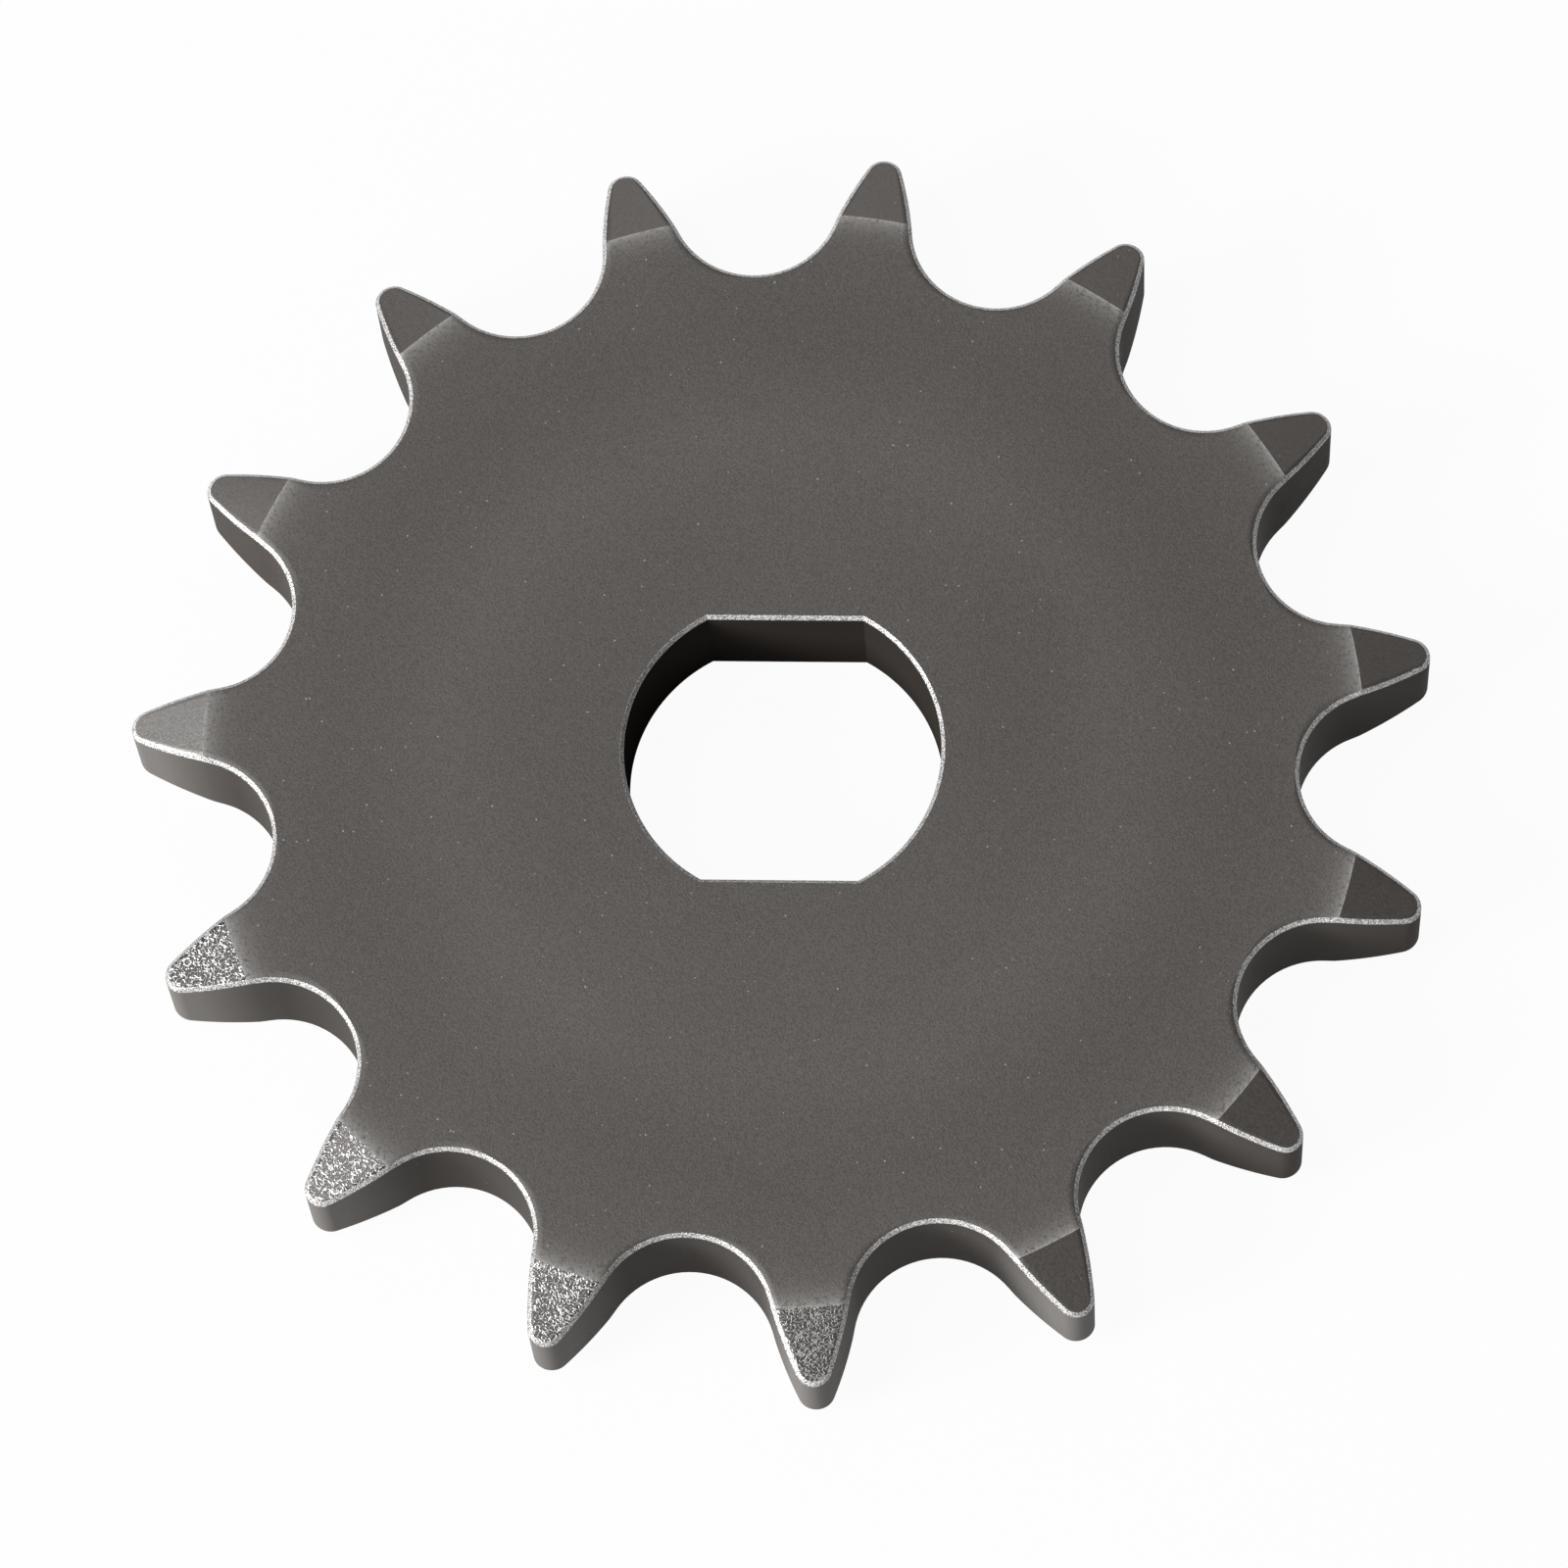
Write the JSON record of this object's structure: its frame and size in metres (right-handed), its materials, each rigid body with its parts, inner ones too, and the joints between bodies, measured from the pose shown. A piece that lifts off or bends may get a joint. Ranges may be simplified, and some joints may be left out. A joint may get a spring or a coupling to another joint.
{
  "type": "motor sprocket",
  "caption": "Flat plate sprocket for a roller chain, with a double-D bore, chamfered tooth tips and broken edges.",
  "frame": {"origin": "on the axis of the bore, in the lower face of the plate", "axes": "+Z along the bore, out of the upper face; the flats of the bore run along X"},
  "size_m": [0.0661, 0.0662, 0.0064],
  "materials": {
    "steel": "satin"
  },
  "bodies": {
    "root": {"sprocket": "steel"}
  },
  "joints": []
}
